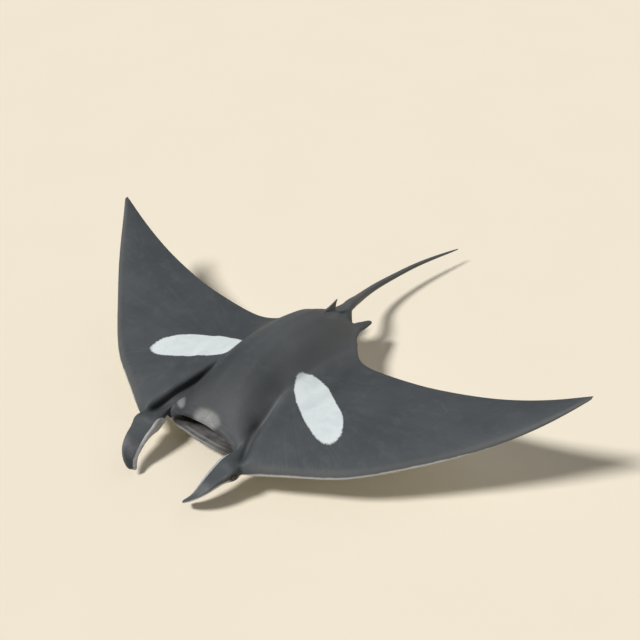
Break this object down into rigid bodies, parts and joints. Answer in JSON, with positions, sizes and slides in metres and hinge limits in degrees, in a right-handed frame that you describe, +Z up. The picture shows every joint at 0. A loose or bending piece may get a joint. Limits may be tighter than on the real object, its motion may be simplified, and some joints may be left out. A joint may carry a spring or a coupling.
{
  "type": "reef manta ray, still life-size display model",
  "caption": "Reef manta ray gliding with raised wings, head fins unrolled, mouth slightly open and whip tail, held just above the floor by a flat base with short rods.",
  "frame": {"origin": "on the floor, at the middle of the stand base's underside, under the animal's centre of mass", "axes": "+Z up, -Y towards the head, +X towards the animal's left wing tip"},
  "size_m": [3.4974, 3.0563, 0.6207],
  "materials": {
    "skin": "satin slate-grey skin, white below, with pale shoulder patches",
    "eye": "wet gloss",
    "stand_paint": "matt sand powder coat",
    "stand_steel": "brushed"
  },
  "bodies": {
    "root": {"cephalic_fin_left": "skin", "cephalic_fin_right": "skin", "dorsal_fin": "skin", "eye_left": "eye", "eye_right": "eye", "head": "skin", "lower_jaw": "skin", "pectoral_fin_left": "skin", "pectoral_fin_right": "skin", "pelvic_fin_left": "skin", "pelvic_fin_right": "skin", "stand_base": "stand_paint", "stand_rod_front": "stand_steel", "stand_rod_rear": "stand_steel", "tail_base": "skin", "tail_mid": "skin", "tail_tip": "skin", "trunk": "skin"}
  },
  "joints": []
}
